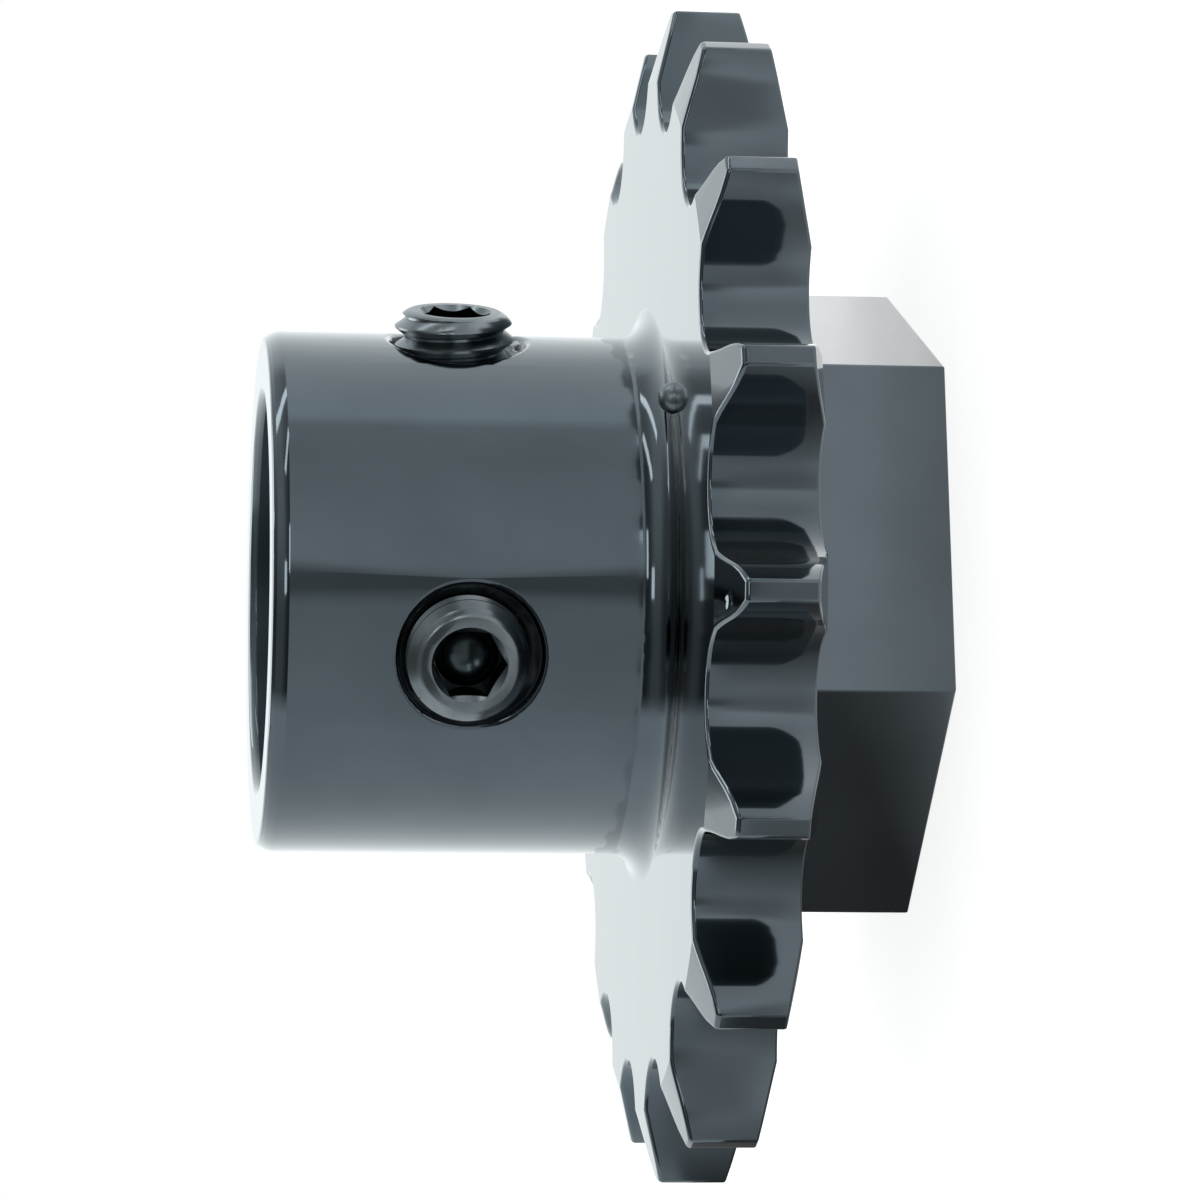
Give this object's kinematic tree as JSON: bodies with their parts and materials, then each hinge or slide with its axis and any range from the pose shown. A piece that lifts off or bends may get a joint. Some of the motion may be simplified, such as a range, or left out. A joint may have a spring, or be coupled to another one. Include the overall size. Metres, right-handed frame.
{
  "type": "chain sprocket",
  "caption": "Steel roller chain sprocket: a toothed plate with a round hub on one side, a hexagonal boss on the other, a bore through all of it and set screws in the hub.",
  "frame": {"origin": "where the axis of the bore meets the end face of the hexagonal boss, on which the sprocket stands", "axes": "+Z along the bore axis from the hexagonal boss to the hub; set_screw_1 faces -Y and set_screw_2 faces +X"},
  "size_m": [0.0752, 0.0753, 0.0417],
  "materials": {
    "darkened_steel": "darkened steel, turned and milled, satin",
    "screw_steel": "darkened alloy steel, slightly shiny"
  },
  "bodies": {
    "root": {"sprocket_body": "darkened_steel", "set_screw_1": "screw_steel", "set_screw_2": "screw_steel"}
  },
  "joints": []
}
